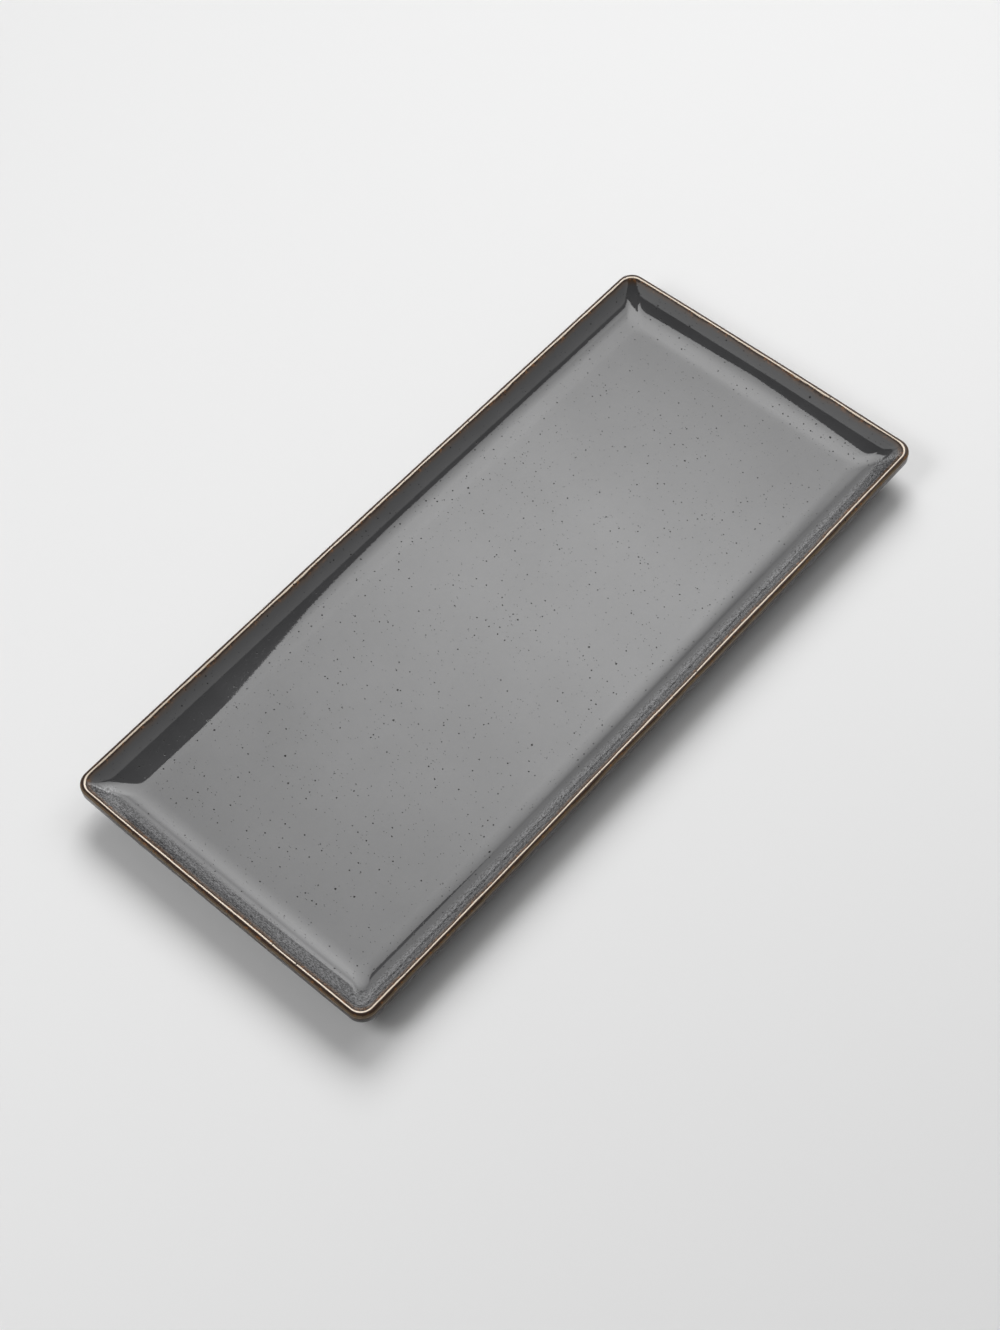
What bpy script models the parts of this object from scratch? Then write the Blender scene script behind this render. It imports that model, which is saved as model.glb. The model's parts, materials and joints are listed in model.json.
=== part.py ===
"""Rectangular glazed stoneware platter with sloping walls, a rounded lip and a foot ring.

The clay body is one pressed and fired piece. Four coats of glaze lie on it: grey in the well, iron
brown over the lip, grey under the overhanging wall and grey under the base. The lower edge of the
foot ring stays bare, because glaze there would weld the platter to the kiln shelf.

Every surface is one half section, swept round a rectangle with rounded corners. A half section
runs from the floor of the well over the lip and down to the foot and the base. Its coordinates are
the inset from the platter's outer edge and the height above the table, and each of its points has
the direction that the surface looks in, measured from inwards and turning upwards.

Frame: metres, +X along the platter, +Y across it, +Z up. The origin is on the table, under the
middle of the platter.
"""
import math

import bmesh
import bpy

# Finished platter, seen from above
LENGTH = 0.350
WIDTH = 0.160
CORNER_RADIUS = 0.009
WELL_CORNER_RADIUS = 0.005

# Well, on the finished surface
WELL_DEPTH = 0.0088
WALL_SLOPE = math.radians(42.0)
WELL_FILLET = 0.024

# Clay under the glaze
FLOOR_THICKNESS = 0.0052
WALL_THICKNESS = 0.0037
LIP_RADIUS = 0.0005
LIP_UNDER_RADIUS = 0.0012

# Foot ring
FOOT_HEIGHT = 0.0051
FOOT_SETBACK = 0.0010
FOOT_WIDTH = 0.0060
FOOT_DRAFT = math.radians(8.0)
FOOT_EDGE_RADIUS = 0.0008
FOOT_FILLET = 0.0013
FOOT_BARE_HEIGHT = 0.0014

# Glaze
GLAZE_THICKNESS = 0.0006
RIM_BAND_WIDTH = 0.0028
CLEARANCE = 0.0003

# Facets
CORNER_STEPS = 10
FACET_ERROR = 0.00002
SHARP_ANGLE = math.radians(40.0)

# Linear red, green and blue, roughness
FIRED_CLAY = ((0.46, 0.37, 0.28), 0.85)
GREY_GLAZE = ((0.055, 0.056, 0.055), 0.12)
BROWN_GLAZE = ((0.070, 0.038, 0.020), 0.18)

# Sizes that follow from those above
COAT = CLEARANCE + GLAZE_THICKNESS
FLOOR_LEVEL = FOOT_HEIGHT + FLOOR_THICKNESS
HEIGHT = FLOOR_LEVEL + COAT + WELL_DEPTH

# Directions that the faces of the section look in
UP = math.pi / 2
WALL_FACE = UP - WALL_SLOPE
OUT = math.pi
UNDER_FACE = WALL_FACE + math.pi
FOOT_OUTSIDE = OUT + FOOT_DRAFT
DOWN = 3 * math.pi / 2
FOOT_INSIDE = 2 * math.pi - FOOT_DRAFT


def moved(point, direction, distance):
    """Returns the point that lies a distance away in a direction."""
    return (point[0] + distance * math.cos(direction), point[1] + distance * math.sin(direction))


def meeting_point(first, second):
    """Returns the point where two faces meet, each given as a point on it and its direction."""
    (u1, z1), a1 = first
    (u2, z2), a2 = second
    reach1 = u1 * math.cos(a1) + z1 * math.sin(a1)
    reach2 = u2 * math.cos(a2) + z2 * math.sin(a2)
    inset = reach1 * math.sin(a2) - reach2 * math.sin(a1)
    height = reach2 * math.cos(a1) - reach1 * math.cos(a2)
    turn = math.sin(a2 - a1)
    return (inset / turn, height / turn)


def fillet(first, second, radius):
    """Rounds the edge or the hollow between two faces, as points with their directions."""
    a1, a2 = first[1], second[1]
    side = math.copysign(radius, a2 - a1)
    centre = meeting_point((moved(first[0], a1, -side), a1), (moved(second[0], a2, -side), a2))
    facet_angle = 2 * math.acos(1 - FACET_ERROR / (radius + COAT))
    count = math.ceil(abs(a2 - a1) / facet_angle)
    angles = [a1 + (a2 - a1) * step / count for step in range(count + 1)]
    return [(moved(centre, angle, side), angle) for angle in angles]


def fillet_radius(finished, room, turn):
    """Returns the clay radius under a glazed hollow, limited by the face beside it."""
    return min(finished + COAT, room / math.tan(abs(turn) / 2))


def clay_zones():
    """Works out the section of the clay, zone by zone, from the well to the base."""
    lip_centre = (COAT + LIP_RADIUS, HEIGHT - COAT - LIP_RADIUS)
    floor = ((0.0, FLOOR_LEVEL), UP)
    wall = (moved(lip_centre, WALL_FACE, LIP_RADIUS), WALL_FACE)
    edge = ((COAT, 0.0), OUT)
    under = (moved(wall[0], UNDER_FACE, WALL_THICKNESS), UNDER_FACE)
    base = ((0.0, FOOT_HEIGHT), DOWN)
    table = ((0.0, 0.0), DOWN)

    # The foot ring is set back from the heel, where the underside of the wall reaches the base
    foot_inset = meeting_point(under, base)[0] + FOOT_SETBACK
    outside = ((foot_inset, 0.0), FOOT_OUTSIDE)
    inside = ((foot_inset + FOOT_WIDTH, 0.0), FOOT_INSIDE)

    # The grey and the brown glaze meet on the wall, the outer glaze starts under the lip
    band_edge = moved(wall[0], WALL_FACE - UP, RIM_BAND_WIDTH)
    lip = fillet(wall, edge, LIP_RADIUS)
    under_lip = fillet(edge, under, LIP_UNDER_RADIUS)
    overhang_start = moved(under_lip[-1][0], UNDER_FACE + UP, CLEARANCE)

    # The glaze stops at one height on both sides of the foot ring
    glaze_line = ((0.0, FOOT_BARE_HEIGHT), UP)
    outer_line = meeting_point(outside, glaze_line)
    inner_line = meeting_point(inside, glaze_line)

    wall_room = (band_edge[1] - FLOOR_LEVEL) / math.sin(WALL_SLOPE)
    well_radius = fillet_radius(WELL_FILLET, wall_room, WALL_SLOPE)
    outer_room = meeting_point(under, outside)[1] - FOOT_BARE_HEIGHT - CLEARANCE
    outer_radius = fillet_radius(FOOT_FILLET, outer_room, UNDER_FACE - FOOT_OUTSIDE)
    inner_room = FOOT_HEIGHT - FOOT_BARE_HEIGHT - CLEARANCE
    inner_radius = fillet_radius(FOOT_FILLET, inner_room, FOOT_INSIDE - DOWN)

    return {
        "well": fillet(floor, wall, well_radius) + [(band_edge, WALL_FACE)],
        "rim": [(moved(band_edge, WALL_FACE + UP, CLEARANCE), WALL_FACE)] + lip + under_lip,
        "overhang": [(overhang_start, UNDER_FACE)]
        + fillet(under, outside, outer_radius)
        + [(outer_line, FOOT_OUTSIDE)],
        "foot": fillet(outside, table, FOOT_EDGE_RADIUS) + fillet(table, inside, FOOT_EDGE_RADIUS),
        "base": [(inner_line, FOOT_INSIDE)] + fillet(inside, base, inner_radius),
    }


def raised(zone, distance):
    """Lifts a zone of the section off the clay."""
    return [moved(point, direction, distance) for point, direction in zone]


def plan_radius(inset):
    """Corner radius in plan: parallel to the outer edge at the lip, then the well's own."""
    change = CORNER_RADIUS - WELL_CORNER_RADIUS
    if change == 0:
        return CORNER_RADIUS
    return WELL_CORNER_RADIUS + change * math.exp(-inset / abs(change))


def plan_ring(inset, height):
    """Points round the platter at one inset and height."""
    radius = plan_radius(inset)
    reach_x = LENGTH / 2 - inset - radius
    reach_y = WIDTH / 2 - inset - radius
    points = []
    for quarter, (side_x, side_y) in enumerate(((1, 1), (-1, 1), (-1, -1), (1, -1))):
        for step in range(CORNER_STEPS + 1):
            angle = math.pi / 2 * (quarter + step / CORNER_STEPS)
            x = side_x * reach_x + radius * math.cos(angle)
            y = side_y * reach_y + radius * math.sin(angle)
            points.append((x, y, height))
    return points


def swept_mesh(name, outline, closed):
    """Sweeps an outline round the platter; an open one gets a flat floor at each end."""
    mesh_data = bmesh.new()
    rings = [[mesh_data.verts.new(point) for point in plan_ring(*station)] for station in outline]
    count = len(rings[0])
    neighbours = list(zip(rings, rings[1:]))
    if closed:
        neighbours.append((rings[-1], rings[0]))
    else:
        mesh_data.faces.new(rings[0])
        mesh_data.faces.new(rings[-1])
    for ring, following in neighbours:
        for index in range(count):
            after = (index + 1) % count
            mesh_data.faces.new((ring[index], ring[after], following[after], following[index]))
    bmesh.ops.recalc_face_normals(mesh_data, faces=mesh_data.faces)
    mesh = bpy.data.meshes.new(name)
    mesh_data.to_mesh(mesh)
    mesh_data.free()
    mesh.shade_smooth()
    mesh.set_sharp_from_angle(angle=SHARP_ANGLE)
    return mesh


def plain_material(name, finish):
    """Makes a material of one colour and roughness."""
    colour, roughness = finish
    material = bpy.data.materials.new(name)
    material.use_nodes = True
    shader = material.node_tree.nodes["Principled BSDF"]
    shader.inputs["Base Color"].default_value = (*colour, 1.0)
    shader.inputs["Roughness"].default_value = roughness
    shader.inputs["Metallic"].default_value = 0.0
    return material


def add_piece(name, mesh, finish, parent):
    """Adds a named piece with its own material to the platter."""
    mesh.materials.append(plain_material(name, finish))
    piece = bpy.data.objects.new(name, mesh)
    piece.parent = parent
    bpy.context.scene.collection.objects.link(piece)
    return piece


def add_stoneware_body(zones, parent):
    """The clay: floor, walls, lip and foot ring in one."""
    well = zones["well"][:-1]
    rim = zones["rim"][1:]
    overhang = zones["overhang"][1:-1]
    base = zones["base"][1:]
    outline = raised(well + rim + overhang + zones["foot"] + base, 0.0)
    add_piece("stoneware_body", swept_mesh("stoneware_body", outline, False), FIRED_CLAY, parent)


def add_coat(name, zone, finish, parent, closed):
    """A coat of glaze over one zone: a band round the platter, or a whole floor with its walls."""
    outline = raised(zone, COAT) + raised(zone, CLEARANCE)[::-1]
    add_piece(name, swept_mesh(name, outline, closed), finish, parent)


def add_base_coat(zone, parent):
    """The glaze under the base runs from the foot ring to the middle."""
    add_coat("base_glaze", zone[::-1], GREY_GLAZE, parent, False)


def main():
    for leftover in list(bpy.data.objects):
        bpy.data.objects.remove(leftover, do_unlink=True)
    platter = bpy.data.objects.new("platter", None)
    bpy.context.scene.collection.objects.link(platter)
    zones = clay_zones()
    add_stoneware_body(zones, platter)
    add_coat("well_glaze", zones["well"], GREY_GLAZE, platter, False)
    add_coat("rim_glaze", zones["rim"], BROWN_GLAZE, platter, True)
    add_coat("overhang_glaze", zones["overhang"], GREY_GLAZE, platter, True)
    add_base_coat(zones["base"], platter)


main()
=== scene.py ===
"""Dark glazed stoneware platter with an iron brown lip, standing on a pale table.

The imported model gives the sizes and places. The finished surface is one half section, swept round
a rectangle with rounded corners by a Geometry Nodes tree. A half section is a line of points, each
with its inset from the platter's outer edge and its height above the table.

Frame: metres, +X along the platter, +Y across it, +Z up. The origin is on the table, under the
middle of the platter.
"""
import json
import math

import bmesh
import bpy
from mathutils import Matrix, Vector


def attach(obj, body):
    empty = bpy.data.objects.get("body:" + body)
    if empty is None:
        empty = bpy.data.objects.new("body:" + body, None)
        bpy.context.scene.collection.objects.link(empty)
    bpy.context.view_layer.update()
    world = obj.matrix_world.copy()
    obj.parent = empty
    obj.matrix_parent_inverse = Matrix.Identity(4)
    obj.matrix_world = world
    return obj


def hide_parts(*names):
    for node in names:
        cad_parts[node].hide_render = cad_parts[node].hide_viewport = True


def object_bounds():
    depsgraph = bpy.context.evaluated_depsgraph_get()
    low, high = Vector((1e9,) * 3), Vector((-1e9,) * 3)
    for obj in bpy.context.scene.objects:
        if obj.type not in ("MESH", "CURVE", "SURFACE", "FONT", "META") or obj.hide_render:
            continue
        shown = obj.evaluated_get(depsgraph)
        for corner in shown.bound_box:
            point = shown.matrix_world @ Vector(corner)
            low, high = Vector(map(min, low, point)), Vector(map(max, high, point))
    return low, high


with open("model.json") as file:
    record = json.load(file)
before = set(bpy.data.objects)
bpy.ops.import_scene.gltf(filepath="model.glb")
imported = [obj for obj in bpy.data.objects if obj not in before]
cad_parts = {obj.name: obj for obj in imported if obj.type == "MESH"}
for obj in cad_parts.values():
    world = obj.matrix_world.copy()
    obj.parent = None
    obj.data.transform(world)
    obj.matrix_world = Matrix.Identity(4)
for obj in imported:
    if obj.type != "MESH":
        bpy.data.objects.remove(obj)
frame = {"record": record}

bl_info = {
    "name": "Glazed stoneware platter",
    "version": (1, 0, 0),
    "blender": (4, 5, 0),
    "location": "3D View > Sidebar > Platter",
    "description": "Makes a rectangular glazed platter on a pale table",
    "category": "Object",
}

MM = 0.001
CAD_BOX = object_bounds()
CAD_SIZE = CAD_BOX[1] - CAD_BOX[0]
MOUNTS = {mount["name"]: Vector(mount["pos_m"]) for mount in frame["record"]["mounts"]}

# Directions that a face of the section looks in, measured from inwards and turning upwards
UP = math.pi / 2
OUT = math.pi
DOWN = 3 * math.pi / 2

# Facets of the finished surface
TURN_PER_FACET = math.radians(3.5)
LONGEST_FACET = 2.6 * MM
CORNER_STEPS = 14
LONG_SIDE_STEPS = 120
SHORT_SIDE_STEPS = 54
ROLLED_EDGE_STEPS = 8
SEAM_WIDTH = 0.002 * MM
SHARP_ANGLE = math.radians(50.0)

# The camera's place, aim and lens, worked out from the four corners of the lip
CAMERA_PLACE = Vector((-0.3798, -0.3733, 0.8377))
CAMERA_AIM = Vector((-0.0140, -0.0062, 0.0))
CAMERA_ROLL = math.radians(-4.43)
CAMERA_LENS = 63.43
SENSOR_WIDTH = 36.0

# The table, and the sheets over it that show only as mirror images in the glaze
TABLE_REACH = 3.0
SOFTBOX_HEIGHT = 1100 * MM
SCRIM_HEIGHT = 420 * MM


def linear(hex_colour):
    """Turns an sRGB hex colour into linear red, green and blue."""
    channels = [int(hex_colour[start:start + 2], 16) / 255 for start in (1, 3, 5)]
    return tuple(c / 12.92 if c <= 0.04045 else ((c + 0.055) / 1.055) ** 2.4 for c in channels)


def add_node(tree, kind, inputs=None, **settings):
    """Adds a node with its settings. An input takes a value, or a link from a node or a socket.

    A Mix node's inputs go by number: 0 is the share, 2 and 3 are numbers, 6 and 7 are colours.
    """
    node = tree.nodes.new(kind)
    for name, value in settings.items():
        setattr(node, name, value)
    for name, value in (inputs or {}).items():
        if isinstance(value, bpy.types.Node):
            value = value.outputs[0]
        if isinstance(value, bpy.types.NodeSocket):
            tree.links.new(value, node.inputs[name])
        else:
            node.inputs[name].default_value = value
    return node


def add_object(name, data):
    """Adds an object to the scene."""
    added = bpy.data.objects.new(name, data)
    bpy.context.scene.collection.objects.link(added)
    return added


def number_property(name, description, default, **unit):
    """A number, with its unit if it has one."""
    return bpy.props.FloatProperty(name=name, description=description, default=default, **unit)


def length_property(name, description, default):
    """A size in metres, shown in the scene's own unit."""
    return number_property(name, description, default, unit="LENGTH", precision=4)


def angle_property(name, description, default):
    """An angle, kept in radians and shown in degrees."""
    return number_property(name, description, default, subtype="ANGLE")


def power_property(name, description, default):
    """The power of a light, in watts."""
    return number_property(name, description, default, unit="POWER")


def colour_property(name, description, default):
    """A colour, given as sRGB hex."""
    return bpy.props.FloatVectorProperty(
        name=name, description=description, default=linear(default), subtype="COLOR",
        size=3, min=0.0, max=1.0,
    )


class PlatterSizes(bpy.types.PropertyGroup):
    """Sizes of the clay and of the glaze on it."""

    length: length_property("Length", "Finished length", CAD_SIZE.x)
    width: length_property("Width", "Finished width", CAD_SIZE.y)
    height: length_property("Height", "Finished height of the lip", 20.0 * MM)
    floor_level: length_property(
        "Floor level", "Height of the glazed floor above the table", MOUNTS["well_floor"].z
    )
    corner_radius: length_property("Corner radius", "In plan, at the outer edge", 7.0 * MM)
    well_corner_radius: length_property("Well corner radius", "In plan, in the well", 5.0 * MM)
    side_bow: length_property("Side bow", "How far each side bulges at its middle", 0.4 * MM)
    wall_slope: angle_property("Wall slope", "Of the well's wall", math.radians(42.0))
    well_fillet: length_property("Well fillet", "Radius where the wall meets the floor", 24.0 * MM)
    floor_thickness: length_property("Floor thickness", "Of the clay", 5.2 * MM)
    wall_thickness: length_property("Wall thickness", "Of the clay", 3.7 * MM)
    lip_radius: length_property("Lip radius", "Of the clay's upper edge", 0.5 * MM)
    lip_under_radius: length_property("Lower lip radius", "Of the clay's lower edge", 1.2 * MM)
    foot_setback: length_property("Foot setback", "From the heel of the wall", 1.0 * MM)
    foot_width: length_property("Foot width", "Of the ring on the table", 6.0 * MM)
    foot_draft: angle_property("Foot draft", "Slope of the ring's sides", math.radians(8.0))
    foot_edge_radius: length_property("Foot edge radius", "Where it meets the table", 0.8 * MM)
    foot_fillet: length_property("Foot fillet", "Where it meets the base", 1.3 * MM)
    bare_height: length_property("Bare height", "Of the unglazed foot", 1.4 * MM)
    coat: length_property("Glaze thickness", "From the clay to the surface", 0.9 * MM)
    brown_band: length_property("Brown band", "Width of the brown glaze on the wall", 2.8 * MM)
    warp: length_property("Warp", "How far firing pulls the sides about", 0.5 * MM)
    warp_length: length_property("Warp length", "From one wave of the sides to the next", 55.0 * MM)
    floor_wave: length_property("Floor wave", "How far firing lifts the floor about", 0.05 * MM)


class GlazeLook(bpy.types.PropertyGroup):
    """Colours and grain of the glaze and the clay."""

    grey: colour_property("Grey", "Glaze where it lies thick", "#404041")
    grey_thin: colour_property("Thin grey", "Glaze where it lies a little thinner", "#4A4A4B")
    # Dark brown is also the painted shade under the lip's outer face
    brown_dark_and_shade: colour_property("Dark brown", "Iron glaze beside the crest of the lip", "#30221A")
    brown: colour_property("Brown", "Iron glaze inside the lip", "#49392C")
    outer: colour_property("Outer brown", "Iron glaze on the outer face", "#66553F")
    drip: colour_property("Orange brown", "Iron glaze where it runs thin", "#7D5431")
    # The crest is partly the clay under thin glaze and partly a painted highlight
    crest: colour_property("Crest", "Lip where the glaze breaks over the clay", "#DECFBC")
    speck: colour_property("Speck", "Iron specks and pinholes", "#141312")
    clay: colour_property("Clay", "Bare fired stoneware", "#BCA98F")
    speck_width: length_property("Speck width", "Of a common speck", 0.75 * MM)
    speck_spacing: length_property("Speck spacing", "From one speck to the next", 3.1 * MM)
    wander_length: length_property("Wander", "From one reach of the brown to the next", 14.0 * MM)
    cloud_length: length_property("Clouds", "From one cloud in the well to the next", 38.0 * MM)
    roughness: number_property("Glaze roughness", "Of the glossy glaze", 0.045)
    matt_roughness: number_property("Matt roughness", "Of specks and of the thin glaze", 0.5)
    drip_length: length_property("Drip spacing", "From one drip at the lip to the next", 2.0 * MM)
    ripple: length_property("Ripple", "Depth of the orange peel on the walls", 0.012 * MM)
    ripple_length: length_property("Ripple length", "From one ripple to the next", 1.6 * MM)
    grain_length: length_property("Grain length", "Of the sandy skin on two walls", 0.95 * MM)
    tone_length: length_property("Clay clouds", "From one tone of the clay to the next", 6.0 * MM)
    grog_spacing: length_property("Grog spacing", "From one dark grain to the next", 1.3 * MM)
    sand_length: length_property("Sand length", "From one grain of sand to the next", 0.35 * MM)
    sand_depth: length_property("Sand depth", "How far the sand stands out", 0.05 * MM)


class StudioStage(bpy.types.PropertyGroup):
    """The table, the lights and the room."""

    table: colour_property("Table", "Painted board", "#EBEBEB")
    softbox_light: number_property("Softbox", "Brightness of the mirrored softbox", 6.4)
    key_power: power_property("Key light", "Large light from the far right", 44.7)
    fill_power: power_property("Fill light", "Small light from the far left", 3.4)
    side_power: power_property("Side light", "Small light from the right", 1.8)
    ambient: number_property("Ambient", "Light from the room", 0.14)
    backdrop: number_property("Backdrop", "Brightness of the room behind the table", 0.84)


def moved(point, direction, distance):
    """Returns the point that lies a distance away in a direction."""
    return (point[0] + distance * math.cos(direction), point[1] + distance * math.sin(direction))


def meeting_point(first, second):
    """Returns the point where two faces meet, each given as a point on it and its direction."""
    (u1, z1), a1 = first
    (u2, z2), a2 = second
    reach1 = u1 * math.cos(a1) + z1 * math.sin(a1)
    reach2 = u2 * math.cos(a2) + z2 * math.sin(a2)
    turn = math.sin(a2 - a1)
    inset = (reach1 * math.sin(a2) - reach2 * math.sin(a1)) / turn
    height = (reach2 * math.cos(a1) - reach1 * math.cos(a2)) / turn
    return (inset, height)


def fillet(first, second, radius):
    """Rounds the edge or the hollow between two faces, as points with their directions."""
    a1, a2 = first[1], second[1]
    side = math.copysign(radius, a2 - a1)
    centre = meeting_point((moved(first[0], a1, -side), a1), (moved(second[0], a2, -side), a2))
    count = math.ceil(abs(a2 - a1) / TURN_PER_FACET)
    angles = [a1 + (a2 - a1) * step / count for step in range(count + 1)]
    return [(moved(centre, angle, side), angle) for angle in angles]


def raised(zone, distance):
    """Lifts a zone of the section off the clay."""
    return [(moved(point, direction, distance), direction) for point, direction in zone]


def clay_zones(sizes):
    """Works out the clay's section by zones, from the middle of the well to that of the base."""
    coat = sizes.coat
    middle = sizes.width / 2
    wall_face = UP - sizes.wall_slope
    under_face = wall_face + math.pi
    floor_level = sizes.floor_level - coat
    base_level = floor_level - sizes.floor_thickness
    lip_centre = (coat + sizes.lip_radius, sizes.height - coat - sizes.lip_radius)
    floor = ((middle, floor_level), UP)
    wall = (moved(lip_centre, wall_face, sizes.lip_radius), wall_face)
    edge = ((coat, 0.0), OUT)
    under = (moved(wall[0], under_face, sizes.wall_thickness), under_face)
    base = ((middle, base_level), DOWN)
    table = ((0.0, 0.0), DOWN)

    foot_inset = meeting_point(under, base)[0] + sizes.foot_setback
    outside = ((foot_inset, 0.0), OUT + sizes.foot_draft)
    inside = ((foot_inset + sizes.foot_width, 0.0), 2 * math.pi - sizes.foot_draft)
    glaze_line = ((0.0, sizes.bare_height + coat / 2), UP)
    outer_line = (meeting_point(outside, glaze_line), outside[1])
    inner_line = (meeting_point(inside, glaze_line), inside[1])

    band_edge = (moved(wall[0], wall_face - UP, sizes.brown_band), wall_face)
    lip = fillet(wall, edge, sizes.lip_radius) + fillet(edge, under, sizes.lip_under_radius)
    return {
        "well": [floor] + fillet(floor, wall, sizes.well_fillet + coat) + [band_edge],
        "lip": [band_edge] + lip,
        "overhang": [lip[-1]] + fillet(under, outside, sizes.foot_fillet) + [outer_line],
        "foot": fillet(outside, table, sizes.foot_edge_radius)
        + fillet(table, inside, sizes.foot_edge_radius),
        "base": [inner_line] + fillet(inside, base, sizes.foot_fillet) + [base],
    }


def rolled_edge(line, coat, turn):
    """The rounded end of a coat of glaze, from its surface down to the clay."""
    point, direction = line
    centre = moved(point, direction, coat / 2)
    share = turn * math.pi / ROLLED_EDGE_STEPS
    angles = [direction + share * step for step in range(1, ROLLED_EDGE_STEPS)]
    return [(moved(centre, angle, coat / 2), angle) for angle in angles]


def divided(outline):
    """Adds points so that no stretch of an outline is longer than the longest facet."""
    points = [outline[0]]
    for start, end in zip(outline, outline[1:]):
        count = max(1, math.ceil(math.dist(start, end) / LONGEST_FACET))
        for step in range(1, count + 1):
            share = step / count
            points.append(tuple(a + (b - a) * share for a, b in zip(start, end)))
    return points


def places(zone):
    """Drops the directions from a zone."""
    return [point for point, direction in zone]


def lip_distances(sizes, outline):
    """Gives each point its distance from the crest of the lip along the finished surface."""
    skin = []
    for name, zone in clay_zones(sizes).items():
        skin += places(raised(zone, 0.0 if name == "foot" else sizes.coat))
    skin = divided(skin)
    run = [0.0]
    for start, end in zip(skin, skin[1:]):
        run.append(run[-1] + math.dist(start, end))
    crest = run[max(range(len(skin)), key=lambda index: skin[index][1])]
    distances = []
    for point in outline:
        nearest = min(range(len(skin)), key=lambda index: math.dist(skin[index], point))
        distances.append(crest - run[nearest])
    return distances


def outline_mesh(name, sizes, outline):
    """A mesh of one line of points, for the tree to sweep round the platter."""
    mesh = bpy.data.meshes.new(name)
    edges = [(index, index + 1) for index in range(len(outline) - 1)]
    mesh.from_pydata([(inset, 0.0, height) for inset, height in outline], edges, [])
    attribute = mesh.attributes.new("from_lip", "FLOAT", "POINT")
    attribute.data.foreach_set("value", lip_distances(sizes, outline))
    return mesh


# Named inputs of the tree, beside the outline and the material
SWEEP_LENGTHS = (
    "Length", "Width", "Corner Radius", "Well Corner Radius", "Side Bow", "Warp", "Warp Length",
    "Floor Wave", "Flat Height",
)
SWEEP_STEPS = {
    "Corner Steps": CORNER_STEPS,
    "Long Side Steps": LONG_SIDE_STEPS,
    "Short Side Steps": SHORT_SIDE_STEPS,
}


def outline_values(tree, outline, row):
    """The inset, the height and the distance from the lip that a row takes from the outline."""
    point = add_node(
        tree, "GeometryNodeSampleIndex",
        {"Geometry": outline, "Index": row,
         "Value": add_node(tree, "GeometryNodeInputPosition")},
        data_type="FLOAT_VECTOR",
    )
    point = add_node(tree, "ShaderNodeSeparateXYZ", {"Vector": point}).outputs
    from_lip = add_node(
        tree, "GeometryNodeSampleIndex",
        {"Geometry": outline, "Index": row,
         "Value": add_node(tree, "GeometryNodeInputNamedAttribute", {"Name": "from_lip"})},
        data_type="FLOAT",
    )
    return point["X"], point["Z"], from_lip


def half_ring(tree, given, place, marks, inset, half_size):
    """Half of one ring in plan: a corner, a long side, the next corner and a short side."""
    first, side, second, half = marks

    # The corners are parallel to the outer edge at the lip and have the well's own radius inside
    own = given["Well Corner Radius"]
    change = add_node(
        tree, "ShaderNodeMath", {0: given["Corner Radius"], 1: own}, operation="SUBTRACT"
    )
    fading = add_node(tree, "ShaderNodeMath", {0: inset, 1: change}, operation="DIVIDE")
    fading = add_node(tree, "ShaderNodeMath", {0: math.exp(-1), 1: fading}, operation="POWER")
    radius = add_node(
        tree, "ShaderNodeMath", {0: change, 1: fading, 2: own}, operation="MULTIPLY_ADD"
    )
    middle = add_node(tree, "ShaderNodeSeparateXYZ", {"Vector": half_size}).outputs["Y"]
    room = add_node(tree, "ShaderNodeMath", {0: middle, 1: inset}, operation="SUBTRACT")
    radius = add_node(tree, "ShaderNodeMath", {0: radius, 1: room}, operation="MINIMUM")
    lost = add_node(tree, "ShaderNodeMath", {0: inset, 1: radius}, operation="ADD")
    reach = add_node(tree, "ShaderNodeVectorMath", {0: half_size, 1: lost}, operation="SUBTRACT")

    # Along each side a share of the reach runs from one corner's centre to the next one's
    shares = {}
    for axis, start, end in (("X", first, side), ("Y", second, half)):
        shares[axis] = add_node(
            tree, "ShaderNodeMapRange",
            {"Value": place, "From Min": start, "From Max": end, "To Min": 1.0, "To Max": -1.0},
        )
    share = add_node(tree, "ShaderNodeCombineXYZ", shares)

    # Round each corner an arm as long as the corner's radius makes a quarter turn
    angle = 0.0
    for start, end in ((0.0, first), (side, second)):
        turn = add_node(
            tree, "ShaderNodeMapRange",
            {"Value": place, "From Min": start, "From Max": end, "To Max": math.pi / 2},
        )
        angle = add_node(tree, "ShaderNodeMath", {0: turn, 1: angle}, operation="ADD")
    arm = add_node(tree, "ShaderNodeCombineXYZ", {"X": radius})
    arm = add_node(
        tree, "ShaderNodeVectorRotate", {"Vector": arm, "Angle": angle}, rotation_type="Z_AXIS"
    )
    return add_node(
        tree, "ShaderNodeVectorMath", {0: share, 1: reach, 2: arm}, operation="MULTIPLY_ADD"
    )


def bowed(tree, given, plan, half_size):
    """Lets the sides bulge a little towards their middle."""
    share = add_node(tree, "ShaderNodeVectorMath", {0: plan, 1: half_size}, operation="DIVIDE")
    axes = add_node(tree, "ShaderNodeSeparateXYZ", {"Vector": share}).outputs
    other = add_node(tree, "ShaderNodeCombineXYZ", {"X": axes["Y"], "Y": axes["X"]})
    other = add_node(tree, "ShaderNodeVectorMath", {0: other, 1: other}, operation="MULTIPLY")
    bulge = add_node(
        tree, "ShaderNodeVectorMath", {0: (1.0, 1.0, 1.0), 1: other}, operation="SUBTRACT"
    )
    bulge = add_node(tree, "ShaderNodeVectorMath", {0: bulge, 1: share}, operation="MULTIPLY")
    bow = add_node(
        tree, "ShaderNodeCombineXYZ", {"X": given["Side Bow"], "Y": given["Side Bow"]}
    )
    return add_node(
        tree, "ShaderNodeVectorMath", {0: bulge, 1: bow, 2: plan}, operation="MULTIPLY_ADD"
    )


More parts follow.
